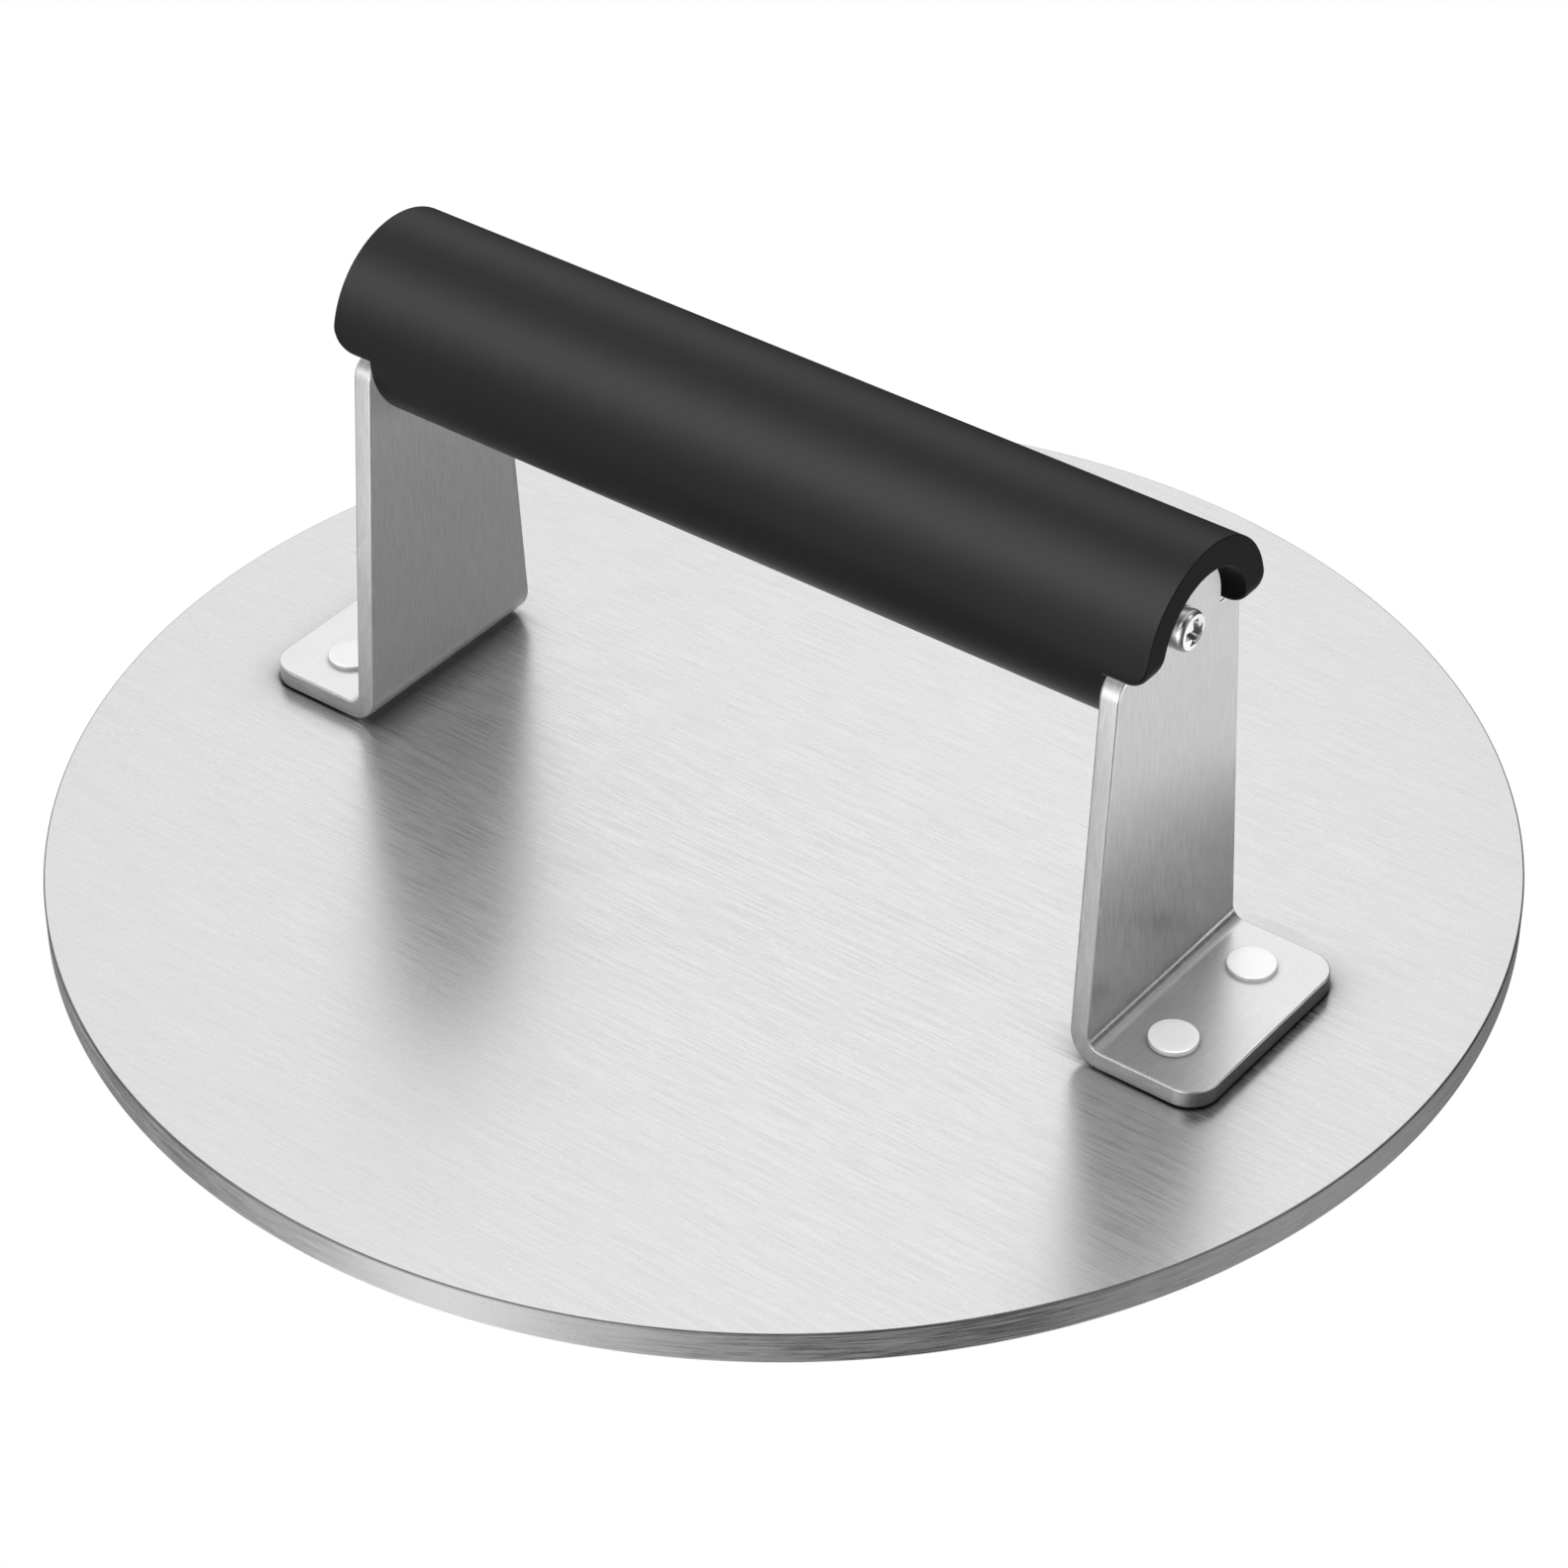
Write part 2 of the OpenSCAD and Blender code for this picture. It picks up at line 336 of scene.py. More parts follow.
def moulded_black(name, dark=1.0, rough=0.38, ior=1.33):
    """Satin moulded plastic: near-black, very fine grain, slow changes of gloss."""
    m = Tree(name)
    p = m.object_coords()
    grain = m.noise(m.scaled(p, (3200.0, 3200.0, 3200.0)), 2.0, 0.55)
    cloud = m.noise(m.scaled(p, (55.0, 110.0, 110.0)), 3.0, 0.5)
    flow = m.noise(m.scaled(p, (18.0, 420.0, 420.0)), 2.0, 0.5)
    t = m.math("MULTIPLY_ADD", m.math("SUBTRACT", cloud, 0.5), 0.003, 0.0070)
    t = m.math("MULTIPLY_ADD", m.math("SUBTRACT", grain, 0.5), 0.003, t)
    col = m.t.nodes.new("ShaderNodeCombineColor")
    t = m.math("MULTIPLY", t, dark)
    m.link(t, col.inputs[0])
    m.link(t, col.inputs[1])
    m.link(m.math("MULTIPLY", t, 1.03), col.inputs[2])
    m.link(col.outputs[0], m.bsdf.inputs["Base Color"])
    r = m.math("MULTIPLY_ADD", m.math("SUBTRACT", cloud, 0.5), 0.05, rough)
    r = m.math("MULTIPLY_ADD", m.math("SUBTRACT", grain, 0.5), 0.08, r)
    m.link(r, m.bsdf.inputs["Roughness"])
    h = m.math("ADD", grain, m.math("MULTIPLY", flow, 0.4))
    m.link(m.bump(h, 1.0, 0.0022 * MM), m.bsdf.inputs["Normal"])
    m.bsdf.inputs["IOR"].default_value = ior
    return m.mat


def drawn_tube(name, tone, rough):
    """Dull drawn or turned steel for the hidden core, with lengthwise die lines."""
    m = Tree(name)
    p = m.object_coords()
    lines = m.noise(m.scaled(p, (45.0, 2600.0, 2600.0)), 3.0, 0.6)
    cloud = m.noise(m.scaled(p, (160.0, 160.0, 160.0)), 4.0, 0.6)
    t = m.math("MULTIPLY_ADD", m.math("SUBTRACT", lines, 0.5), 0.12, tone)
    t = m.math("MULTIPLY_ADD", m.math("SUBTRACT", cloud, 0.5), 0.10, t)
    col = m.t.nodes.new("ShaderNodeCombineColor")
    for i, k in enumerate((1.0, 0.995, 0.985)):
        m.link(m.math("MULTIPLY", t, k), col.inputs[i])
    m.link(col.outputs[0], m.bsdf.inputs["Base Color"])
    m.link(m.math("MULTIPLY_ADD", m.math("SUBTRACT", cloud, 0.5), 0.16, rough),
           m.bsdf.inputs["Roughness"])
    m.link(m.bump(lines, 1.0, 0.003 * MM), m.bsdf.inputs["Normal"])
    m.bsdf.inputs["Metallic"].default_value = 1.0
    return m.mat


def painted_contact_shade(m):
    """Painted contact shade on the plate's top face: a dark band right beside the feet, and a wider fade under
    the bend.
    """
    xyz = m.t.nodes.new("ShaderNodeSeparateXYZ")
    m.link(m.object_coords(), xyz.inputs[0])
    x0 = BEND_X - 1.8                     # the bend lifts off the plate here
    mid, half = (x0 + X_FOOT) / 2 * MM, (X_FOOT - x0) / 2 * MM
    dx = m.math("SUBTRACT", m.math("ABSOLUTE", xyz.outputs[0]), mid)
    dx = m.math("MAXIMUM", m.math("SUBTRACT", m.math("ABSOLUTE", dx), half - 0.004), 0.0)
    dy = m.math("SUBTRACT", m.math("ABSOLUTE", xyz.outputs[1]), FOOT_W * MM - 0.004)
    dy = m.math("MAXIMUM", dy, 0.0)
    d = m.math("SQRT", m.math("ADD", m.math("MULTIPLY", dx, dx), m.math("MULTIPLY", dy, dy)))
    d = m.math("MAXIMUM", m.math("SUBTRACT", d, 0.004), 0.0)
    near = m.math("EXPONENT", m.math("MULTIPLY", d, -1000 / 0.35))
    wide = m.math("EXPONENT", m.math("MULTIPLY", d, -1000 / 2.2))
    dark = m.math("ADD", m.math("MULTIPLY", near, 0.45), m.math("MULTIPLY", wide, 0.42))
    # under the bend it fades out more slowly
    inward = m.math("SUBTRACT", (X_IN + 1.5) * MM, m.math("ABSOLUTE", xyz.outputs[0]))
    inward = m.math("MAXIMUM", inward, 0.0)
    bend = m.math("MULTIPLY", m.math("EXPONENT", m.math("MULTIPLY", inward, -1000 / 2.4)), 0.74)
    within = m.math("LESS_THAN", m.math("ABSOLUTE", xyz.outputs[0]), (x0 + 2.0) * MM)
    bend = m.math("MULTIPLY", bend, within)
    side = m.t.nodes.new("ShaderNodeMapRange")
    side.interpolation_type = "SMOOTHSTEP"
    m.link(m.math("ABSOLUTE", xyz.outputs[1]), side.inputs["Value"])
    for key, v in (("From Min", (FOOT_W - 1.5) * MM), ("From Max", (FOOT_W + 1.5) * MM),
                   ("To Min", 1.0), ("To Max", 0.0)):
        side.inputs[key].default_value = v
    dark = m.math("MAXIMUM", dark, m.math("MULTIPLY", side.outputs[0], bend))
    # only on the top face, where the feet are
    on_top = m.math("GREATER_THAN", xyz.outputs[2], 0.0025)
    return m.math("SUBTRACT", 1.0, m.math("MULTIPLY", dark, on_top))


def painted_shade_round_rivets(m):
    """Painted shade: a thin dark ring on the foot, round each rivet's head where it meets the sheet."""
    xyz = m.t.nodes.new("ShaderNodeSeparateXYZ")
    m.link(m.object_coords(), xyz.inputs[0])
    dx = m.math("SUBTRACT", m.math("ABSOLUTE", xyz.outputs[0]), RIVET_X * MM)
    dy = m.math("SUBTRACT", m.math("ABSOLUTE", xyz.outputs[1]), abs(RIVET_Y) * MM)
    d = m.math("SQRT", m.math("ADD", m.math("MULTIPLY", dx, dx), m.math("MULTIPLY", dy, dy)))
    d = m.math("ABSOLUTE", m.math("SUBTRACT", d, RIVET_EDGE * MM))
    dark = m.math("MULTIPLY", m.math("EXPONENT", m.math("MULTIPLY", d, -1000 / 0.25)), 0.62)
    return m.math("SUBTRACT", 1.0, dark)


def painted_edge_shade_and_light(m):
    """Painted shade and light on the cut edges: faces turned along ±X, as at the foot's end, are darkened down
    to 0.3, and the cut sides grow lighter with height, up to 1.21.
    """
    geo = m.t.nodes.new("ShaderNodeNewGeometry")
    xyz = m.t.nodes.new("ShaderNodeSeparateXYZ")
    m.link(geo.outputs["Normal"], xyz.inputs[0])
    # painted shade: the more a face turns along ±X, the darker
    k = m.t.nodes.new("ShaderNodeMapRange")
    k.interpolation_type = "SMOOTHSTEP"
    m.link(m.math("ABSOLUTE", xyz.outputs[0]), k.inputs["Value"])
    k.inputs["From Min"].default_value = 0.35
    k.inputs["From Max"].default_value = 0.98
    k.inputs["To Min"].default_value = 1.0
    k.inputs["To Max"].default_value = 0.30
    pos = m.t.nodes.new("ShaderNodeSeparateXYZ")
    m.link(m.object_coords(), pos.inputs[0])
    # painted light: the cut sides grow lighter with height
    up = m.t.nodes.new("ShaderNodeMapRange")
    up.interpolation_type = "SMOOTHSTEP"
    m.link(pos.outputs[2], up.inputs["Value"])
    for key, v in (("From Min", 0.006), ("From Max", 0.024), ("To Min", 1.0), ("To Max", 1.21)):
        up.inputs[key].default_value = v
    return m.math("MULTIPLY", k.outputs[0], up.outputs[0])


# the plate's colour carries painted contact shade beside the feet
PLATE_STEEL = brushed_steel("plate_brushed_steel", 0.66, (0.24, 0.32), 0.35, (0.0, 0.38), fine=0.19,
                            length=8.5, seed=1.0, shade=painted_contact_shade)
# the bracket's colour carries painted shade round each rivet's head
BRACKET_STEEL = brushed_steel("bracket_brushed_steel", 0.73, (0.27, 0.35), 0.5, (0.0, 0.2),
                              length=3.5, seed=7.0, shade=painted_shade_round_rivets)
# the cut edges carry painted shade on the foot's end and painted light higher up
CUT_STEEL = brushed_steel("bracket_cut_edge", 0.76, (0.27, 0.35), 0.4, (0.0, 0.2), length=3.0,
                          seed=3.0, shade=painted_edge_shade_and_light)
# rim's upper rounding: pale edge wear, with a painted highlight along the top edge
RIM_WEAR_AND_HIGHLIGHT = brushed_steel("plate_rim_wear_and_painted_highlight", 0.90, (0.24, 0.32), 0.2, (0.7, 0.9), pale=0.0,
                         length=3.0, seed=6.0)
# rim's lower rounding: dark, painted shade along the plate's bottom edge
RIM_PAINTED_SHADE = brushed_steel("plate_rim_painted_shade", 0.32, (0.34, 0.42), 0.2, (0.0, 0.2), length=3.0,
                          seed=8.0)
# upward bevels: pale edge wear, with a painted highlight
EDGE_WEAR_AND_HIGHLIGHT_STEEL = brushed_steel("bracket_edge_wear_and_painted_highlight", 0.93, (0.22, 0.30), 0.3, (0.25, 0.4), pale=0.0,
                           length=2.0, seed=5.0)
# near-black for the foot's downward lower bevels: painted contact shade under the foot's edge
CONTACT_SHADE_STEEL = brushed_steel("bracket_foot_painted_shade", 0.10, (0.42, 0.50), 0.2, (0.0, 0.2), length=2.0,
                            seed=9.0)
RIVET_STEEL = turned_metal("rivet_bright_steel", 0.86, 0.42, 0.25, 1.0, metal=0.45)
SCREW_PLATE = turned_metal("screw_bright_plate", 0.84, 0.13, 0.35, 0.5, spots=0.02)
GRIP_BLACK = moulded_black("grip_satin_black")
# the bore's colour is halved as painted shade in the hollow; it is also rougher and less glossy
BORE_MATT_AND_SHADE = moulded_black("grip_inside_matt_and_painted_shade", 0.5, 0.62, 1.2)
CORE_STEEL = drawn_tube("core_drawn_steel", 0.52, 0.38)
PLUG_STEEL = drawn_tube("plug_turned_steel", 0.58, 0.32)


# ---------------------------------------------------------------- plate
def plate_uv(co, n, c):
    if abs(n.z) > 0.98 or math.hypot(c.x, c.y) < (PLATE_R - 0.7) * MM:
        return (co.y, co.x)
    a = math.atan2(c.y, c.x)
    d = math.atan2(co.y, co.x) - a
    d = (d + math.pi) % (2 * math.pi) - math.pi
    return (co.z + 0.3, (a + d) * PLATE_R * MM)


def build_plate():
    bm = bmesh.new()
    e, segs = 0.3, 512
    prof = arc(PLATE_R - e, e, e, -90, 0, 6) + arc(PLATE_R - e, PLATE_T - e, e, 0, 90, 6)
    rings = lathe(bm, prof, segs, about_z(0, 0))
    # four countersunk rivet holes, each a turned wall from the top face to the cooking face
    c = 0.07
    tops, bottoms = [rings[-1]], [rings[0]]
    for sx in (-1, 1):
        for sy in (-1, 1):
            wall = [(3.5 + c, 0.0), (3.5 - 0.04, 0.12), (2.0, 1.6), (2.0, PLATE_T)]
            hole = lathe(bm, wall, 48, about_z(sx * RIVET_X, sy * RIVET_Y))
            bottoms.append(hole[0])
            tops.append(hole[-1])

    def cap(loops, up):
        edges = []
        for loop in loops:
            for i, v in enumerate(loop):
                w = loop[(i + 1) % len(loop)]
                edges.append(bm.edges.get((v, w)) or bm.edges.new((v, w)))
        bmesh.ops.triangle_fill(bm, use_beauty=True, use_dissolve=False, edges=edges,
                                normal=(0, 0, up))

    cap(tops, 1)
    cap(bottoms, -1)
    bm.normal_update()
    for f in bm.faces:
        c = f.calc_center_median() / MM
        # upper rim rounding gets the worn edge with painted highlight, lower rounding the painted shade
        if math.hypot(c.x, c.y) > PLATE_R - 0.6 and 0.04 < abs(f.normal.z) < 0.98:
            f.material_index = 1 if f.normal.z > 0 else 2
    ob = to_object("plate_turned", bm, PLATE_STEEL, ["press_plate"], plate_uv,
                   sharp=50)
    ob.data.materials.append(RIM_WEAR_AND_HIGHLIGHT)
    ob.data.materials.append(RIM_PAINTED_SHADE)
    return ob


# ---------------------------------------------------------------- brackets
def bracket_uv(co, n, c):
    z, x = c.z / MM, abs(c.x) / MM
    if z > BEND_Z - 1.2 or x < BEND_X - 1.0:
        # leg and upper bend: brushed up the sheet
        if abs(n.x) > 0.6 or (z < BEND_Z and abs(n.y) < 0.5):
            return (co.y, co.z - abs(co.x) * 0.6)
        return (abs(co.x) + 0.2 + co.y * 0.0, co.z)
    if abs(n.z) > 0.6 or abs(n.y) < 0.3 and x < BEND_X:
        return (abs(co.x), co.y + 0.5)
    t = Vector((-n.y, n.x, 0.0))
    if t.length > 1e-6:
        t.normalize()
    return (co.z + 0.4, co.dot(t))


def build_bracket(side, name, node):
    bm = bmesh.new()

    def V(x, y, z):
        return bm.verts.new((side * x * MM, y * MM, z * MM))

    def ring_on(points, f):
        return [f(p) for p in points]

    # leg: outline from the bend up one side, over the shoulder and the tongue, and its mirror
    cz = SHOULDER_Z - SHOULDER_R
    cy = leg_half(cz) - SHOULDER_R / math.cos(TAPER)
    a_side = math.degrees(TAPER)
    ty = math.sqrt(TONGUE_R ** 2 - (AXIS_Z - SHOULDER_Z) ** 2)
    a0 = math.degrees(math.atan2(SHOULDER_Z - AXIS_Z, ty))
    half = [(FOOT_W, BEND_Z)]
    for k in (0.25, 0.5, 0.75):
        zk = BEND_Z + (cz - BEND_Z) * k
        half.append((leg_half(zk), zk))
    half += arc(cy, cz, SHOULDER_R, a_side, 90, 10)
    half += [(ty, SHOULDER_Z)]
    half += arc(0, AXIS_Z, TONGUE_R, a0, 90, 26)[1:]
    hole_r, hn = 1.9, 16
    hole = arc(0, AXIS_Z, hole_r, 90, -90, hn)
    sheet = {}
    for x in (X_IN, X_OUT):
        right = [V(x, y, z) for y, z in half]
        left = [V(x, -y, z) for y, z in half[:-1]] + [right[-1]]
        foot_mid = V(x, 0, BEND_Z)
        hr = [V(x, y, z) for y, z in hole]
        hl = [hr[0]] + [V(x, -y, z) for y, z in hole[1:-1]] + [hr[-1]]
        bm.faces.new([foot_mid] + right + hr)
        bm.faces.new([foot_mid] + left + hl)
        sheet[x] = (right, left, hr, hl, foot_mid)
    for i in (0, 1):
        a, b = sheet[X_IN][i], sheet[X_OUT][i]
        for j in range(len(a) - 1):
            bm.faces.new((a[j], a[j + 1], b[j + 1], b[j]))
    for i in (2, 3):
        a, b = sheet[X_IN][i], sheet[X_OUT][i]
        for j in range(len(a) - 1):
            bm.faces.new((a[j], a[j + 1], b[j + 1], b[j]))

    # bend: two walls and the two cut sides, with a seam at the middle
    n = 14
    rows = []
    for i in range(n + 1):
        t = math.radians(180 + 90 * i / n)
        row = []
        for r, x_leg in ((BEND_RO, X_IN), (BEND_R, X_OUT)):
            if i == 0:
                right, left, _, _, mid = sheet[x_leg]
                row.append((left[0], mid, right[0]))
            else:
                x, z = BEND_X + r * math.cos(t), BEND_Z + r * math.sin(t)
                row.append((V(x, -FOOT_W, z), V(x, 0, z), V(x, FOOT_W, z)))
        rows.append(row)
    for p, q in zip(rows, rows[1:]):
        for w in (0, 1):
            for k in (0, 1):
                bm.faces.new((p[w][k], p[w][k + 1], q[w][k + 1], q[w][k]))
        for k in (0, 2):
            bm.faces.new((p[0][k], q[0][k], q[1][k], p[1][k]))

    # foot: outline split on the line through the two rivets
    ends = rows[-1]
    faces = []
    for w, z in ((0, PLATE_T), (1, PLATE_T + SHEET)):
        lo, mid, hi = ends[w]
        rl, rh = V(RIVET_X, -FOOT_W, z), V(RIVET_X, FOOT_W, z)
        rings = []
        for sy in (-1, 1):
            pts = [V(RIVET_X + 2.0 * math.cos(a), sy * RIVET_Y + 2.0 * math.sin(a), z)
                   for a in [math.radians(-90 + 360 * j / 32) for j in range(32)]]
            rings.append(pts)
        front = arc(X_FOOT - FOOT_R, -FOOT_W + FOOT_R, FOOT_R, -90, 0, 12)
        back = arc(X_FOOT - FOOT_R, FOOT_W - FOOT_R, FOOT_R, 0, 90, 12)
        rim = [V(x, y, z) for x, y in front + back]
        # rings[k][0] is the lowest y, rings[k][16] the highest; 0..16 run by +x, 16..32 by -x
        inner = [mid, lo, rl]
        outer = [rl]
        for k in (0, 1):
            r = rings[k]
            inner += [r[0]] + [r[j] for j in range(31, 16, -1)] + [r[16]]
            outer += [r[j] for j in range(0, 17)]
        inner += [rh, hi]
        outer += [rh] + rim[::-1]
        bm.faces.new(inner)
        bm.faces.new(outer)
        faces.append(([lo, rl] + rim + [rh, hi], rings))
    (rim_a, rings_a), (rim_b, rings_b) = faces
    for j in range(len(rim_a) - 1):
        bm.faces.new((rim_a[j], rim_a[j + 1], rim_b[j + 1], rim_b[j]))
    for ra, rb in zip(rings_a, rings_b):
        for j in range(32):
            k = (j + 1) % 32
            bm.faces.new((ra[j], ra[k], rb[k], rb[j]))
    bmesh.ops.recalc_face_normals(bm, faces=bm.faces)
    hidden = RIVET_X - 3, RIVET_X + 3

    def outer_edge(e):
        m = (e.verts[0].co + e.verts[1].co) / 2 / MM
        x, y = abs(m.x), abs(m.y)
        near_rivet = math.hypot(x - RIVET_X, y - RIVET_Y) < 2.6
        near_screw = math.hypot(y, m.z - AXIS_Z) < 2.3
        return not (near_rivet or near_screw)

    def lower_side(e):
        """The sheet's punched side: the leg's inner face, outside of the bend, foot's underside."""
        for v in e.verts:
            x, z = abs(v.co.x) / MM, v.co.z / MM
            if x > BEND_X:
                if z > PLATE_T + 0.01:
                    return False
            elif z > BEND_Z:
                if x > X_IN + 0.01:
                    return False
            elif math.hypot(x - BEND_X, z - BEND_Z) < BEND_RO - 0.05:
                return False
        return outer_edge(e)

    low = bevel_sharp(bm, 0.36, 3, 35.0, lower_side)
    top = bevel_sharp(bm, 0.28, 3, 60.0, outer_edge)
    bm.normal_update()
    low, top = {f for f in low if f.is_valid}, {f for f in top if f.is_valid}
    for f in bm.faces:
        c, n = f.calc_center_median() / MM, f.normal
        on_foot = abs(c.x) > X_FOOT - FOOT_R and PLATE_T < c.z < PLATE_T + SHEET
        rim = f not in low and f not in top and (
            (abs(n.y) > 0.5 and abs(n.x) < 0.5) or (on_foot and abs(n.z) < 0.5))
        # downward lower bevels at the plate get painted contact shade
        if f in low and c.z < PLATE_T + 0.4 and n.z < -0.15:
            f.material_index = 3
        # upward top bevels get edge wear with a painted highlight
        elif f in top and n.z > 0.2 and (abs(c.x) > X_OUT + 0.2 or abs(c.y) > 10.5):
            f.material_index = 2
        # cut sides and the foot's end: painted shade and light in their colour
        elif rim:
            f.material_index = 1
    ob = to_object(name, bm, BRACKET_STEEL, [node], bracket_uv, sharp=50)
    for mat in (CUT_STEEL, EDGE_WEAR_AND_HIGHLIGHT_STEEL, CONTACT_SHADE_STEEL):
        ob.data.materials.append(mat)
    return ob


# ---------------------------------------------------------------- grip sleeve
EDGE_R = 0.15                             # round on the sleeve's end edges
LIP_OUT, LIP_IN = 1.2, 1.0                # rounds on a hood's lower lip, outside and inside


def hood_low(x):
    """Lower edge of the hood against distance along the handle, relative to the axis."""
    k = x - (GRIP_X - HOOD_R)
    if k <= 0:
        return HOOD_Z
    return HOOD_Z + HOOD_R - math.sqrt(max(0.0, HOOD_R ** 2 - k * k))


def hood_section(x, inset, n_arc, n_lip):
    """The hood's cross-section as four open runs: over the outside, left lip, back inside, right lip."""
    ro, ri, h = GRIP_R - inset, BORE_R + inset, hood_low(x) + inset
    fo, fi = max(0.05, LIP_OUT - inset), max(0.05, LIP_IN - inset)
    co = math.sqrt((ro - fo) ** 2 - (h + fo) ** 2)
    ci = math.sqrt((ri + fi) ** 2 - (h + fi) ** 2)
    ao, ai = math.atan2(h + fo, co), math.atan2(h + fi, ci)
    over = [(ro * math.cos(t), ro * math.sin(t))
            for t in [ao + (math.pi - 2 * ao) * j / n_arc for j in range(n_arc + 1)]]
    inside = [(ri * math.cos(t), ri * math.sin(t))
              for t in [math.pi - ai - (math.pi - 2 * ai) * j / n_arc for j in range(n_arc + 1)]]
    lip = []
    for j in range(1, n_lip + 1):
        t = ao + (-math.pi / 2 - ao) * j / n_lip
        lip.append((co + fo * math.cos(t), h + fo + fo * math.sin(t)))
    for j in range(n_lip * 2):
        t = -math.pi / 2 + (ai + math.pi - 2 * math.pi + math.pi / 2) * j / (n_lip * 2)
        lip.append((ci + fi * math.cos(t), h + fi + fi * math.sin(t)))
    left = [(-y, z) for y, z in lip]
    return over, left, inside, lip[::-1]


def build_grip():
    bm = bmesh.new()
    NA, NL, NB = 96, 6, 72                # steps over the top, round a lip's edge, under the bottom

    def P(x, y, z):
        return bm.verts.new((x * MM, y * MM, (AXIS_Z + z) * MM))

    def strip(a, b, closed=False):
        for j in range(len(a) - (0 if closed else 1)):
            k = (j + 1) % len(a)
            bm.faces.new((a[j], a[k], b[k], b[j]))

    def runs(x, inset, side):
        return [[P(side * x, y, z) for y, z in run] for run in hood_section(x, inset, NA, NL)]

    def loop(r):
        return r[0] + r[1] + r[2] + r[3]

    ends = {}
    for side in (-1, 1):
        xs = [X_IN + (GRIP_X - HOOD_R - X_IN) * k / 6 for k in range(7)]
        xs += [GRIP_X - HOOD_R + (HOOD_R - EDGE_R) * math.sin(math.radians(a))
               for a in (12, 24, 36, 48, 60, 75, 90)]
        line = [(x, 0.0) for x in xs]
        line += [(GRIP_X - EDGE_R + EDGE_R * math.sin(t), EDGE_R * (1 - math.cos(t)))
                 for t in [math.radians(22.5 * k) for k in range(1, 5)]]
        rings = [runs(x, inset, side) for x, inset in line]
        for a, b in zip(rings, rings[1:]):
            strip(loop(a), loop(b), True)
        over, left, inside, rightlip = rings[-1]
        strip(over, inside[::-1])
        bm.faces.new([over[-1]] + left + [inside[0]])
        bm.faces.new([inside[-1]] + rightlip + [over[0]])
        ends[side] = rings[0]
    # the round body between the brackets, upper and lower halves
    stations = [-X_IN + 2 * X_IN * i / 24 for i in range(25)]

    def arc_under(x, r, first, last, count):
        a0 = math.atan2(first.co.z / MM - AXIS_Z, first.co.y / MM) % (2 * math.pi)
        a1 = math.atan2(last.co.z / MM - AXIS_Z, last.co.y / MM) % (2 * math.pi)
        if a1 < a0:
            a1 += 2 * math.pi
        return [P(x, r * math.cos(a0 + (a1 - a0) * j / count), r * math.sin(a0 + (a1 - a0) * j / count))
                for j in range(1, count)]

    for which, r in ((0, GRIP_R), (2, BORE_R)):
        tops = [ends[-1][which]]
        for x in stations[1:-1]:
            tops.append([P(x, v.co.y / MM, v.co.z / MM - AXIS_Z) for v in ends[-1][which]])
        tops.append(ends[1][which])
        lows = []
        for x, top in zip(stations, tops):
            a, b = (top[-1], top[0]) if which == 0 else (top[0], top[-1])
            lows.append([a] + arc_under(x, r, a, b, NB) + [b])
        for i in range(24):
            strip(tops[i], tops[i + 1])
            strip(lows[i], lows[i + 1])
        ends[-1].append(lows[0])
        ends[1].append(lows[-1])
    for side in (-1, 1):
        over, left, inside, rightlip, low_out, low_in = ends[side]
        m = 6                             # the flat end face starts just under the lips
        strip(low_out[m:-m], low_in[m:-m])
        bm.faces.new(low_out[:m + 1] + low_in[m::-1] + left[::-1])
        bm.faces.new(low_out[-m - 1:] + rightlip[::-1] + low_in[:-m - 2:-1])
    bm.normal_update()
    # the bore also gets a halved colour, painted shade in the hollow
    for f in bm.faces:                    # the bore is left as moulded, duller than the outside
        c = f.calc_center_median() / MM
        r = math.hypot(c.y, c.z - AXIS_Z)
        if r < BORE_R + 0.25 and abs(f.normal.x) < 0.5:
            f.material_index = 1
    ob = to_object("grip_moulded", bm, GRIP_BLACK, ["grip_sleeve"], None, sharp=50)
    ob.data.materials.append(BORE_MATT_AND_SHADE)
    return ob


grip = build_grip()


# ---------------------------------------------------------------- rivets
def around(cx, cy):
    def rule(co, n, c):
        if abs(n.z) > 0.7:
            return (math.hypot(co.x - cx * MM, co.y - cy * MM), math.atan2(c.y - cy * MM, c.x - cx * MM) * 0.004)
        return (co.z + 0.1, math.atan2(co.y - cy * MM, co.x - cx * MM) * 0.0035)
    return rule


def build_rivet(sx, sy, name, node):
    bm = bmesh.new()
    z0 = PLATE_T + SHEET
    top = RIVET_TOP
    e = 0.16
    prof = [(0, top), (1.2, top - 0.002), (2.3, top - 0.006)]
    prof += [(r, h) for r, h in reversed(arc(3.5 - e, top - 0.012 - e, e, 0, 90, 5))]
    prof += [(3.5, z0 + 0.22), (3.44, z0 + 0.08), (3.3, z0 + 0.005), (2.0, z0), (2.0, 1.6), (3.40, 0.12)]
    prof += [(3.36, 0.03), (3.3, 0.0), (0, 0.0)]
    lathe(bm, prof, 72, about_z(sx * RIVET_X, sy * RIVET_Y))
    return to_object(name, bm, RIVET_STEEL, [node],
                     around(sx * RIVET_X, sy * RIVET_Y), sharp=38)


# ---------------------------------------------------------------- screws
def screw_uv(co, n, c):
    y, z = co.y, co.z - AXIS_Z * MM
    if abs(n.x) > 0.7:
        return (math.hypot(y, z), math.atan2(c.z - AXIS_Z * MM, c.y) * 0.003)
    return (co.x, math.atan2(z, y) * 0.003)


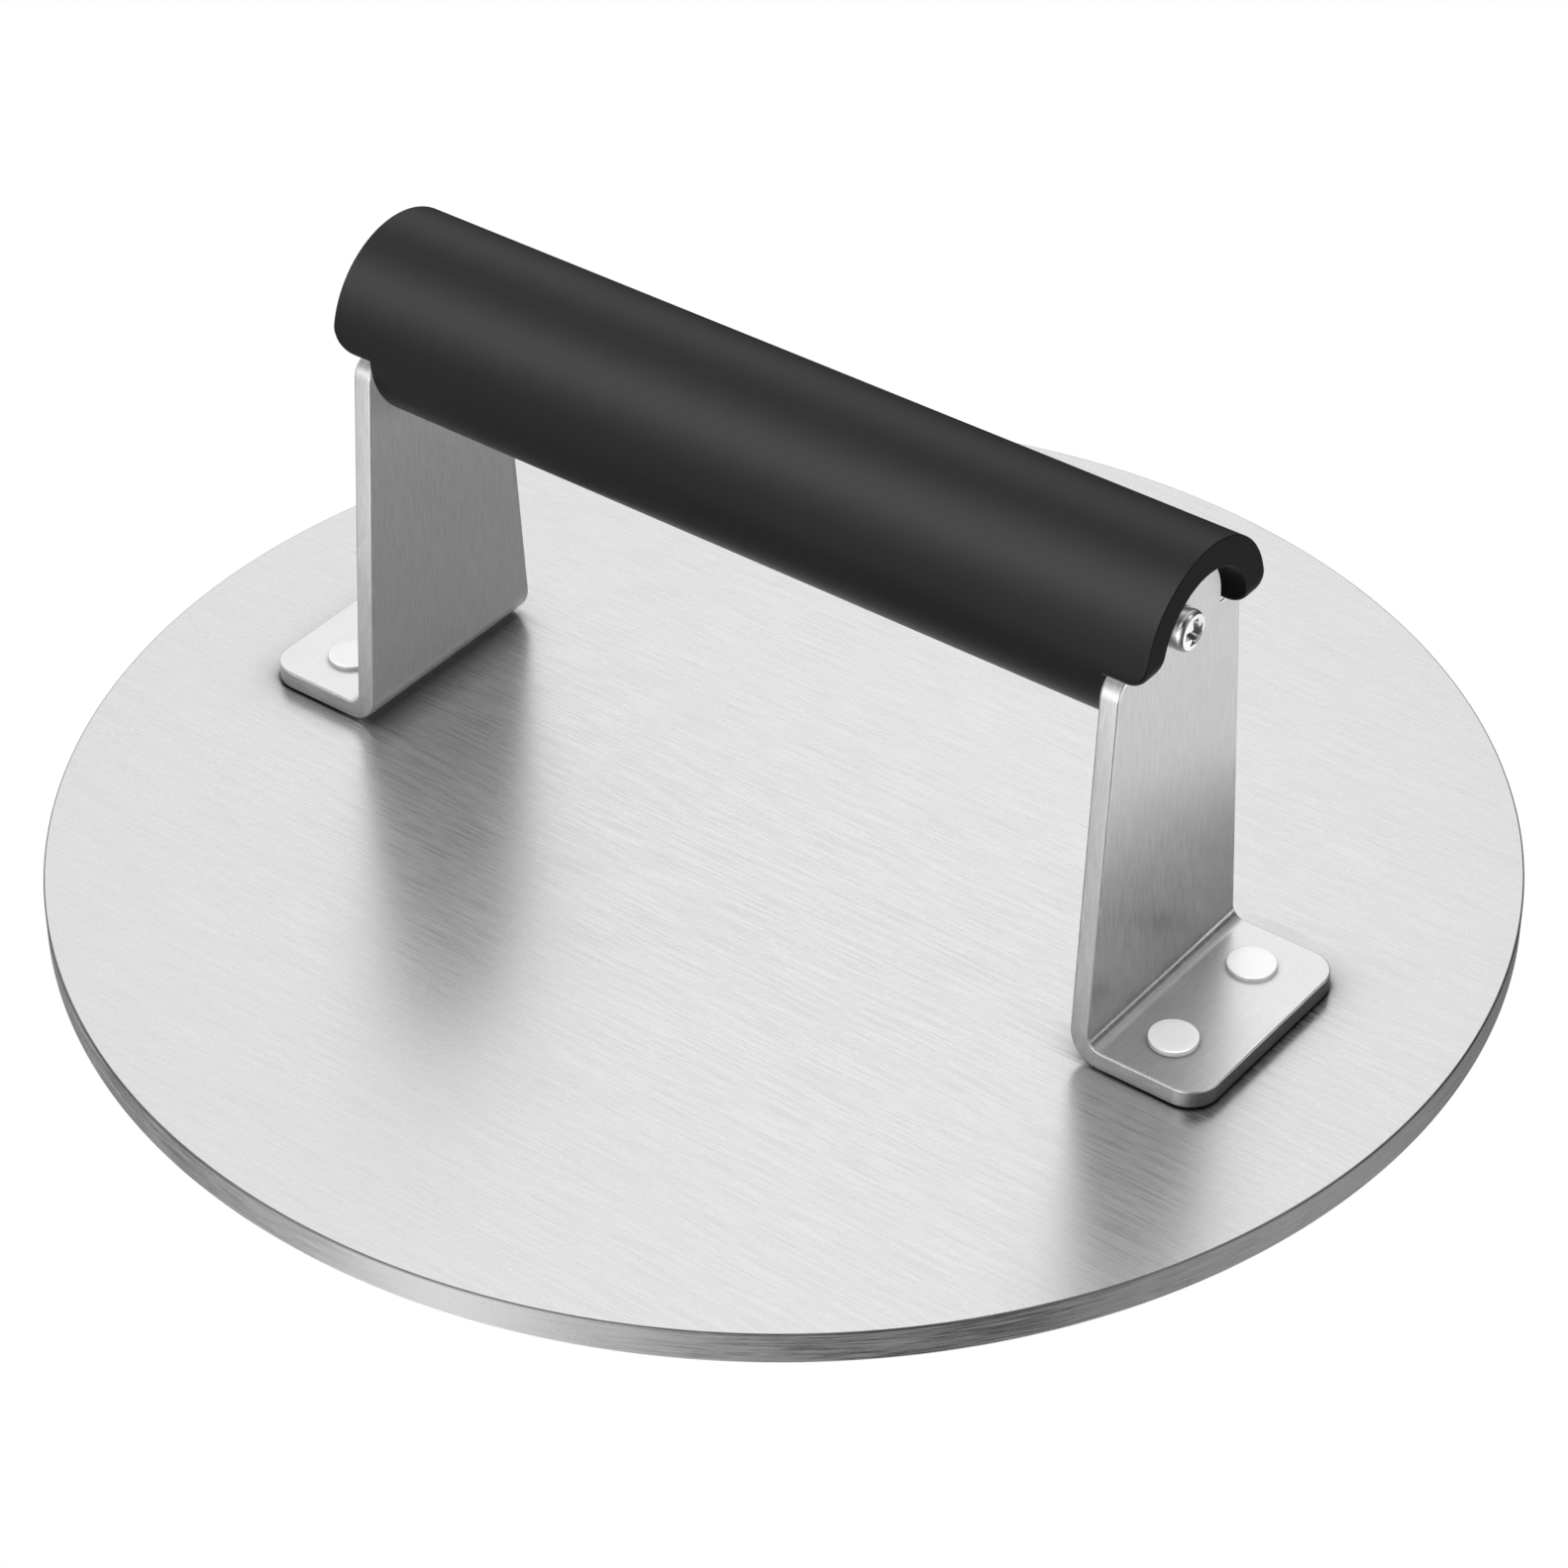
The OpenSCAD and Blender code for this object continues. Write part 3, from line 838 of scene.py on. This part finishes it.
def build_screw(side, turn, name, node):
    bm = bmesh.new()
    head_h = HEAD_TOP - X_OUT
    e, dome = 1.35, 6.8
    prof = [(0.0, HEAD_TOP)]
    # shallow dome, then the rounded edge
    for k in range(1, 9):
        r = (HEAD_R - e + 0.25) * k / 8
        prof.append((r, HEAD_TOP - dome + math.sqrt(dome * dome - r * r)))
    h_edge = prof[-1][1]
    for k in range(1, 9):
        a = math.radians(78 - 78 * k / 8)
        r = HEAD_R - e + e * math.cos(a)
        h = X_OUT + head_h - e + e * math.sin(a)
        if r > prof[-1][0] + 0.02 and h < prof[-1][1]:
            prof.append((r, h))
    prof += [(HEAD_R, X_OUT + 0.35), (HEAD_R - 0.06, X_OUT + 0.12), (HEAD_R - 0.2, X_OUT)]
    rs, pitch = 1.75, 0.8
    rm = rs - 0.54 * pitch
    start = X_OUT - 3.5
    prof += [(rs + 0.0, X_OUT), (rs, start + 0.05)]
    turns = int((X_OUT - SCREW_END - 3.5 - 1) / pitch)
    for i in range(turns):
        prof += [(rs, start - (i + 0.12) * pitch), (rm, start - (i + 0.50) * pitch),
                 (rm, start - (i + 0.62) * pitch), (rs, start - (i + 1.0) * pitch)]
    tip = start - turns * pitch
    prof += [(rm, tip - 0.35), (rm - 0.5, SCREW_END), (0.0, SCREW_END)]
    lathe(bm, [(r, side * h) for r, h in prof], 96, about_x)
    bmesh.ops.recalc_face_normals(bm, faces=bm.faces)
    me = bpy.data.meshes.new(name + "_blank")
    bm.to_mesh(me)
    bm.free()
    blank = bpy.data.objects.new(name + "_blank", me)
    scene.collection.objects.link(blank)

    # cross recess: four tapered wings and a conical seat
    cb = bmesh.new()
    depth, w_top, w_bot = 1.45, 1.32, 0.9
    r_top, r_bot = 2.15, 1.05
    x_top, x_bot = HEAD_TOP + 0.5, HEAD_TOP - depth
    grow = 0.5 / depth

    def C(x, u, v):
        a = math.radians(turn)
        y, z = u * math.cos(a) - v * math.sin(a), u * math.sin(a) + v * math.cos(a)
        return cb.verts.new((side * x * MM, y * MM, (AXIS_Z + z) * MM))

    def cross(x, r, w):
        h, f = w / 2, 0.16
        out = []
        for q in range(4):
            a = math.radians(90 * q)
            for u, v in ((h + f, -h), (r, -h), (r, h), (h + f, h), (h, h + f)):
                out.append(C(x, u * math.cos(a) - v * math.sin(a), u * math.sin(a) + v * math.cos(a)))
        return out

    top = cross(x_top, r_top + (r_top - r_bot) * grow, w_top + (w_top - w_bot) * grow)
    bot = cross(x_bot, r_bot, w_bot)
    for i in range(len(top)):
        k = (i + 1) % len(top)
        cb.faces.new((top[i], top[k], bot[k], bot[i]))
    cb.faces.new(top)
    cb.faces.new(bot)
    bmesh.ops.recalc_face_normals(cb, faces=cb.faces)
    cme = bpy.data.meshes.new(name + "_cutter")
    cb.to_mesh(cme)
    cb.free()
    cutter = bpy.data.objects.new(name + "_cutter", cme)
    scene.collection.objects.link(cutter)
    mod = blank.modifiers.new("recess", "BOOLEAN")
    mod.operation = "DIFFERENCE"
    mod.solver = "EXACT"
    mod.object = cutter
    bpy.context.view_layer.update()
    done = bmesh.new()
    done.from_object(blank, bpy.context.evaluated_depsgraph_get())
    bpy.data.objects.remove(blank)
    bpy.data.objects.remove(cutter)
    bpy.data.meshes.remove(me)
    bpy.data.meshes.remove(cme)
    return to_object(name, done, SCREW_PLATE, [node], screw_uv, sharp=32)


plate = build_plate()
brackets = [build_bracket(1, "right_bracket_bent", "right_bracket"),
            build_bracket(-1, "left_bracket_bent", "left_bracket")]
rivets = []
for sx, a in ((-1, "left"), (1, "right")):
    for sy, b in ((-1, "front"), (1, "rear")):
        rivets.append(build_rivet(sx, sy, f"{a}_{b}_rivet_set", f"{a}_{b}_rivet"))
screws = [build_screw(1, -6, "right_screw_driven", "right_screw"),
          build_screw(-1, 28, "left_screw_driven", "left_screw")]
for node, mat in (("core_tube", CORE_STEEL), ("left_end_plug", PLUG_STEEL),
                  ("right_end_plug", PLUG_STEEL)):
    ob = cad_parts[node]
    ob.data.materials.clear()
    ob.data.materials.append(mat)


# ---------------------------------------------------------------- studio
def build_world(lobes, base):
    """A soft studio: broad glows at the given azimuth and elevation, and a plain white backdrop."""
    world = bpy.data.worlds.new("studio")
    scene.world = world
    world.use_nodes = True
    t = world.node_tree
    t.nodes.clear()
    out = t.nodes.new("ShaderNodeOutputWorld")
    co = t.nodes.new("ShaderNodeTexCoord")
    total = None
    for i, (az, el, sharp, power) in enumerate(lobes):
        a, e = math.radians(az), math.radians(el)
        d = t.nodes.new("ShaderNodeVectorMath")
        d.operation = "DOT_PRODUCT"
        t.links.new(co.outputs["Generated"], d.inputs[0])
        d.inputs[1].default_value = (math.sin(a) * math.cos(e), math.cos(a) * math.cos(e),
                                     math.sin(e))
        m = t.nodes.new("ShaderNodeMath")
        m.operation = "MULTIPLY_ADD"
        t.links.new(d.outputs["Value"], m.inputs[0])
        m.inputs[1].default_value = sharp
        m.inputs[2].default_value = -sharp
        x = t.nodes.new("ShaderNodeMath")
        x.operation = "EXPONENT"
        t.links.new(m.outputs[0], x.inputs[0])
        s = t.nodes.new("ShaderNodeMath")
        s.operation = "MULTIPLY_ADD"
        s.name = f"lobe_{i}"
        t.links.new(x.outputs[0], s.inputs[0])
        s.inputs[1].default_value = power
        if total is None:
            s.inputs[2].default_value = base
        else:
            t.links.new(total, s.inputs[2])
        total = s.outputs[0]
    studio = t.nodes.new("ShaderNodeBackground")
    studio.inputs["Color"].default_value = (1, 1, 1, 1)
    t.links.new(total, studio.inputs["Strength"])
    back = t.nodes.new("ShaderNodeBackground")
    back.inputs["Color"].default_value = (1, 1, 1, 1)
    back.inputs["Strength"].default_value = 1.0
    mix = t.nodes.new("ShaderNodeMixShader")
    lp = t.nodes.new("ShaderNodeLightPath")
    t.links.new(lp.outputs["Is Camera Ray"], mix.inputs[0])
    t.links.new(studio.outputs[0], mix.inputs[1])
    t.links.new(back.outputs[0], mix.inputs[2])
    t.links.new(mix.outputs[0], out.inputs[0])


# soft boxes: azimuth from +Y towards +X, elevation, sharpness, radiance
LOBES = [
    (178, -5, 40, 2.42),
    (93, -13, 40, 0.95),
    (-57, -76, 8, 1.29),
    (178, -5, 8, 1.25),
    (-170, 46, 40, 1.06),
    (-32, 41, 8, 1.02),
    (53, 51, 40, 1.00),
    (-162, -36, 40, 0.65),
    (-65, 20, 40, 0.56),
    (-150, 13, 40, 0.47),
    (-150, 13, 8, 0.45),
    (-162, -36, 8, 0.39),
    (158, 24, 40, 0.39),
    (-65, 20, 8, 0.37),
    (-32, 41, 40, 0.32),
    (60, -32, 8, 0.28),
    (-85, 58, 8, 0.19),
    (28, -58, 8, 0.14),
    (53, 51, 8, 0.09),
    # these light the plate for the side and top views
    (90, 22, 14, 0.52),
    (-90, 22, 14, 0.48),
    (0, 90, 14, 0.36),
]
build_world(LOBES, 0.0)


def soft_sun(name, az, el, power, pieces, width=40, shadow=True, gloss=True):
    """A wide lamp that lights only the pieces named, as a studio's flags would keep it to them."""
    lamp = bpy.data.lights.new(name, "SUN")
    lamp.energy = power
    lamp.angle = math.radians(width)
    lamp.use_shadow = shadow
    ob = bpy.data.objects.new(name, lamp)
    a, e = math.radians(az), math.radians(el)
    ob.rotation_mode = "QUATERNION"
    ob.rotation_quaternion = Vector((-math.sin(a) * math.cos(e), -math.cos(a) * math.cos(e),
                                     -math.sin(e))).to_track_quat("-Z", "Y")
    scene.collection.objects.link(ob)
    ob.visible_glossy = gloss
    only = bpy.data.collections.new(name + "_on")
    for piece in pieces:
        only.objects.link(piece)
    ob.light_linking.receiver_collection = only


soft_sun("grip_light_1", -143, 75, 0.82, [grip])
soft_sun("grip_light_2", -143, 40, 0.79, [grip])
soft_sun("grip_light_3", -143, 25, 0.32, [grip])
soft_sun("grip_light_4", -143, 55, 0.36, [grip])
soft_sun("bracket_light_1", 61, -26, 0.42, brackets, width=46)
soft_sun("bracket_light_4", 52, -15, 0.52, brackets[:1], width=36)
soft_sun("rivet_light_1", 120, 60, 3.0, rivets[2:], width=60)
soft_sun("rivet_light_2", -120, 60, 1.6, rivets[:2], width=60)
soft_sun("plate_light", -37, 70, 0.35, [plate], width=100, gloss=False)
soft_sun("bracket_light_2", 60, 30, 0.38, brackets, width=120, gloss=False)
soft_sun("bracket_light_3", 55, -14, 0.8, brackets[1:], width=30)
soft_sun("bend_light", 3, -49, 0.5, brackets[1:], width=20, shadow=False)
soft_sun("screw_light", 40, -25, 0.45, screws, width=50, shadow=False)

# floor
fb = bmesh.new()
bmesh.ops.create_circle(fb, cap_ends=True, segments=96, radius=2.5)
fme = bpy.data.meshes.new("floor")
fb.to_mesh(fme)
fb.free()
floor = bpy.data.objects.new("floor", fme)
floor.location.z = -0.0002
scene.collection.objects.link(floor)
fm = bpy.data.materials.new("floor_white")
fm.use_nodes = True
ft = fm.node_tree
ft.nodes.clear()
fo = ft.nodes.new("ShaderNodeOutputMaterial")
fe = ft.nodes.new("ShaderNodeEmission")
fe.inputs["Color"].default_value = (1, 1, 1, 1)
fe.inputs["Strength"].default_value = 1.0
fg = ft.nodes.new("ShaderNodeEmission")
fg.name = "floor_glow"
fg.inputs["Strength"].default_value = 0.3
fmix = ft.nodes.new("ShaderNodeMixShader")
flp = ft.nodes.new("ShaderNodeLightPath")
ft.links.new(flp.outputs["Is Camera Ray"], fmix.inputs[0])
ft.links.new(fg.outputs[0], fmix.inputs[1])
ft.links.new(fe.outputs[0], fmix.inputs[2])
# the floor is clear from below, so that the cooking face can be looked at
fgeo = ft.nodes.new("ShaderNodeNewGeometry")
fclear = ft.nodes.new("ShaderNodeBsdfTransparent")
fside = ft.nodes.new("ShaderNodeMixShader")
ft.links.new(fgeo.outputs["Backfacing"], fside.inputs[0])
ft.links.new(fmix.outputs[0], fside.inputs[1])
ft.links.new(fclear.outputs[0], fside.inputs[2])
ft.links.new(fside.outputs[0], fo.inputs[0])
fme.materials.append(fm)
for seen_by in ("diffuse", "glossy", "transmission", "shadow"):
    setattr(floor, "visible_" + seen_by, False)
grip.visible_glossy = False
for rivet in rivets:
    rivet.visible_glossy = False
for node in ("core_tube", "left_end_plug", "right_end_plug"):
    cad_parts[node].visible_glossy = False

# ---------------------------------------------------------------- camera
AZ, EL, ROLL = (math.radians(v) for v in (37.207, 37.384, -0.219))
back = Vector((math.sin(AZ) * math.cos(EL), -math.cos(AZ) * math.cos(EL), math.sin(EL)))
right = Vector((math.cos(AZ), math.sin(AZ), 0.0))
up = back.cross(right)
right, up = (right * math.cos(ROLL) + up * math.sin(ROLL),
             up * math.cos(ROLL) - right * math.sin(ROLL))
target = Vector((0, 0, 28.636)) + right * 0.1145 + up * -13.142
where = (target + back * 694.01) * MM
cam_data = bpy.data.cameras.new("camera")
cam_data.sensor_width = 36.0
cam_data.lens = 36.0 * 5009.308 / 1583.0
cam_data.clip_start = 0.01
cam_data.clip_end = 20.0
cam = bpy.data.objects.new("camera", cam_data)
cam.matrix_world = Matrix((
    (right.x, up.x, back.x, where.x),
    (right.y, up.y, back.y, where.y),
    (right.z, up.z, back.z, where.z),
    (0, 0, 0, 1)))
scene.collection.objects.link(cam)
scene.camera = cam
scene.view_settings.view_transform = "Standard"
scene.view_settings.look = "None"
